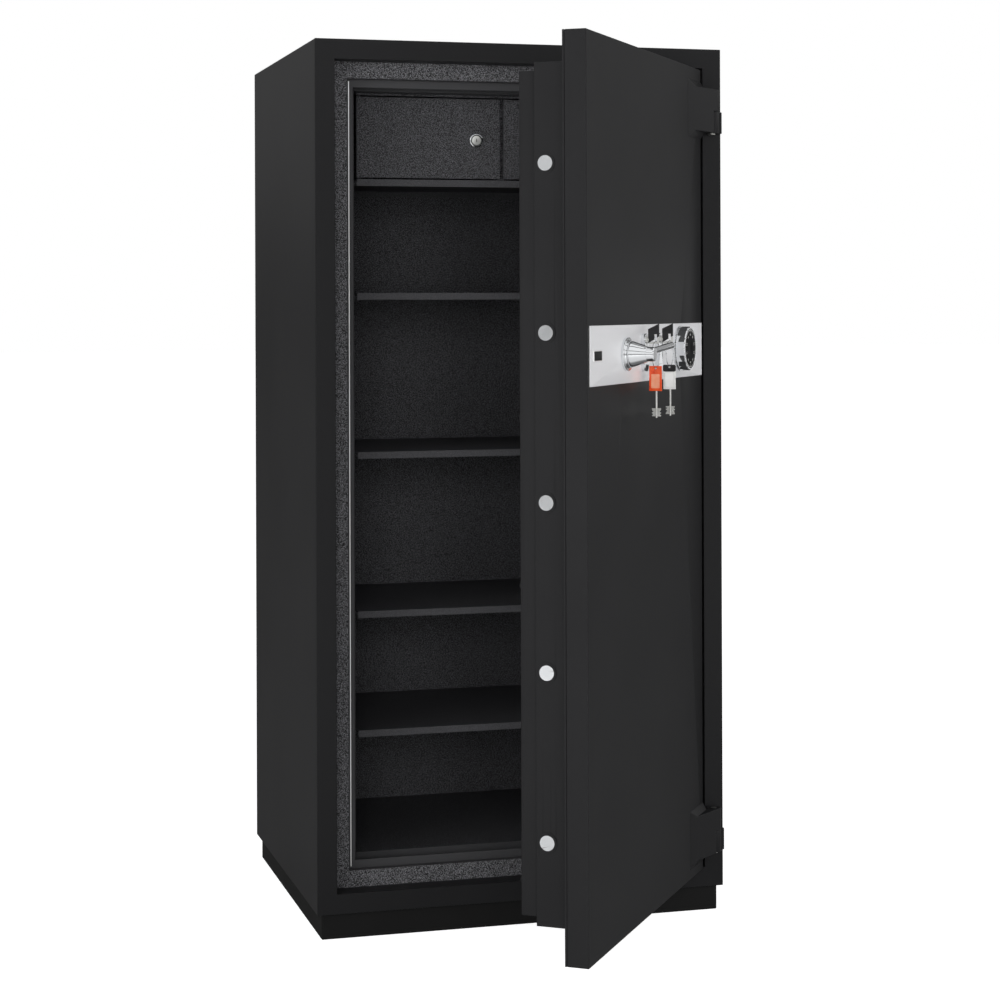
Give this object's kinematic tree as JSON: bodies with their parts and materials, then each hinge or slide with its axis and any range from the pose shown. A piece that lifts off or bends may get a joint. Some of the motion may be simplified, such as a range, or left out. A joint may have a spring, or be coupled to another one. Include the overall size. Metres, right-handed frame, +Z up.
{
  "type": "steel safe",
  "caption": "Tall free-standing fire-resistant steel safe with a hinged door standing open, round side bolts, lever handle, combination dial, key locks, shelves and a small locker.",
  "frame": {"origin": "on the floor, under the middle of the body, at the centre of the plinth's flat base", "axes": "+Z up, -Y towards the front with the door, +X towards the hinge side; metres"},
  "size_m": [0.838, 1.3315, 1.75],
  "materials": {
    "plinth": "painted black",
    "casing": "satin black paint",
    "infill": "cast light fire-resistant fill",
    "inside": "fine textured powder coat",
    "hinge": "satin black paint",
    "zinc": "zinc plated steel",
    "plate": "fine brushed along its length",
    "badge": "smooth black",
    "chrome": "polished",
    "bolt": "satin plated",
    "brass": "turned",
    "key": "dark bow on a steel shaft",
    "tag_orange": "smooth",
    "tag_white": "smooth, black at its top"
  },
  "bodies": {
    "body": {"plinth": "plinth", "outer_casing": "casing", "fire_infill": "infill", "inner_liner": "inside", "door_frame": "inside", "bolt_channel": "inside", "hinge_knuckles": "hinge", "hinge_pins": "zinc", "shelf_1": "inside", "shelf_2": "inside", "shelf_3": "inside", "shelf_4": "inside", "shelf_rails": "inside", "shelf_clips": "inside", "locker_floor": "inside", "locker_divider": "inside", "locker_head_rail": "inside"},
    "door": {"door_skin": "casing", "door_infill": "infill", "door_back_plate": "casing", "bolt_case": "casing", "inner_cover": "casing", "hinge_leaves": "hinge", "lock_plate": "plate", "badge": "badge", "bolt_guides": "casing", "carriage_guides": "zinc", "cover_posts": "zinc", "cover_screws": "casing", "key_escutcheons": "chrome", "key_lock_cases": "zinc", "combination_lock_case": "zinc", "dial_ring": "chrome", "handle_rose": "chrome"},
    "boltwork": {"locking_bolts": "bolt", "bolt_carriage": "zinc"},
    "handle": {"handle_hub": "chrome", "handle_lever": "chrome", "handle_spindle": "zinc", "drive_pinion": "zinc"},
    "dial": {"dial_knob": "chrome", "dial_spindle": "zinc", "wheel_pack": "brass"},
    "combination_bolt": {"combination_bolt": "zinc"},
    "key_1": {"key_1": "key"},
    "key_2": {"key_2": "key"},
    "key_bolt_1": {"key_bolt_1": "zinc"},
    "key_bolt_2": {"key_bolt_2": "zinc"},
    "key_set_1": {"key_ring_1": "chrome", "key_tag_1": "tag_orange", "spare_key_1": "chrome"},
    "key_set_2": {"key_ring_2": "chrome", "key_tag_2": "tag_white", "spare_key_2": "chrome"},
    "locker_left": {"locker_door_left": "inside", "locker_lock_left": "chrome"},
    "locker_right": {"locker_door_right": "inside", "locker_lock_right": "chrome"},
    "locker_cam_left": {"locker_cam_left": "chrome"},
    "locker_cam_right": {"locker_cam_right": "chrome"}
  },
  "joints": [
    {"name": "door_hinge", "type": "hinge", "parent": "body", "child": "door", "pos_m": [0.393, -0.37, 0.9], "axis": [0, 0, 1], "range_deg": [-54, 56]},
    {"name": "handle_turn", "type": "hinge", "parent": "door", "child": "handle", "pos_m": [0.06001, -0.8011, 1.142], "axis": [-0.809, 0.5878, 0], "range_deg": [0, 90]},
    {"name": "boltwork_slide", "type": "slide", "parent": "door", "child": "boltwork", "axis": [-0.5878, -0.809, 0], "range_m": [0, 0.03298]},
    {"name": "dial_turn", "type": "hinge", "parent": "door", "child": "dial", "pos_m": [0.26514, -0.51876, 1.146], "axis": [-0.809, 0.5878, 0], "continuous": true},
    {"name": "combination_bolt_slide", "type": "slide", "parent": "door", "child": "combination_bolt", "axis": [0, 0, -1], "range_m": [0, 0.01]},
    {"name": "key_1_turn", "type": "hinge", "parent": "door", "child": "key_1", "pos_m": [0.12202, -0.71575, 1.166], "axis": [-0.809, 0.5878, 0], "range_deg": [0, 90]},
    {"name": "key_bolt_1_slide", "type": "slide", "parent": "door", "child": "key_bolt_1", "axis": [0, 0, -1], "range_m": [0, 0.01]},
    {"name": "key_set_1_swing", "type": "hinge", "parent": "key_1", "child": "key_set_1", "pos_m": [0.14386, -0.73162, 1.1605], "axis": [-0.809, 0.5878, 0], "range_deg": [-90, 0]},
    {"name": "key_2_turn", "type": "hinge", "parent": "door", "child": "key_2", "pos_m": [0.17609, -0.64132, 1.166], "axis": [-0.809, 0.5878, 0], "range_deg": [0, 90]},
    {"name": "key_bolt_2_slide", "type": "slide", "parent": "door", "child": "key_bolt_2", "axis": [0, 0, -1], "range_m": [0, 0.01]},
    {"name": "key_set_2_swing", "type": "hinge", "parent": "key_2", "child": "key_set_2", "pos_m": [0.19794, -0.65719, 1.1605], "axis": [-0.809, 0.5878, 0], "range_deg": [-90, 0]},
    {"name": "locker_left_hinge", "type": "hinge", "parent": "body", "child": "locker_left", "pos_m": [-0.298, -0.193, 1.5685], "axis": [0, 0, -1], "range_deg": [0, 100]},
    {"name": "locker_cam_left_turn", "type": "hinge", "parent": "locker_left", "child": "locker_cam_left", "pos_m": [-0.0545, -0.199, 1.5685], "axis": [0, -1, 0], "range_deg": [0, 90]},
    {"name": "locker_right_hinge", "type": "hinge", "parent": "body", "child": "locker_right", "pos_m": [0.298, -0.193, 1.5685], "axis": [0, 0, 1], "range_deg": [0, 55]},
    {"name": "locker_cam_right_turn", "type": "hinge", "parent": "locker_right", "child": "locker_cam_right", "pos_m": [0.0545, -0.199, 1.5685], "axis": [0, 1, 0], "range_deg": [0, 90]}
  ],
  "couplings": [
    {"joint": "handle_turn", "follows": "boltwork_slide", "rad_per_m": 47.619},
    {"joint": "key_bolt_1_slide", "follows": "key_1_turn", "m_per_rad": 0.006366},
    {"joint": "key_set_1_swing", "follows": "key_1_turn", "ratio": -1},
    {"joint": "key_bolt_2_slide", "follows": "key_2_turn", "m_per_rad": 0.006366},
    {"joint": "key_set_2_swing", "follows": "key_2_turn", "ratio": -1}
  ]
}
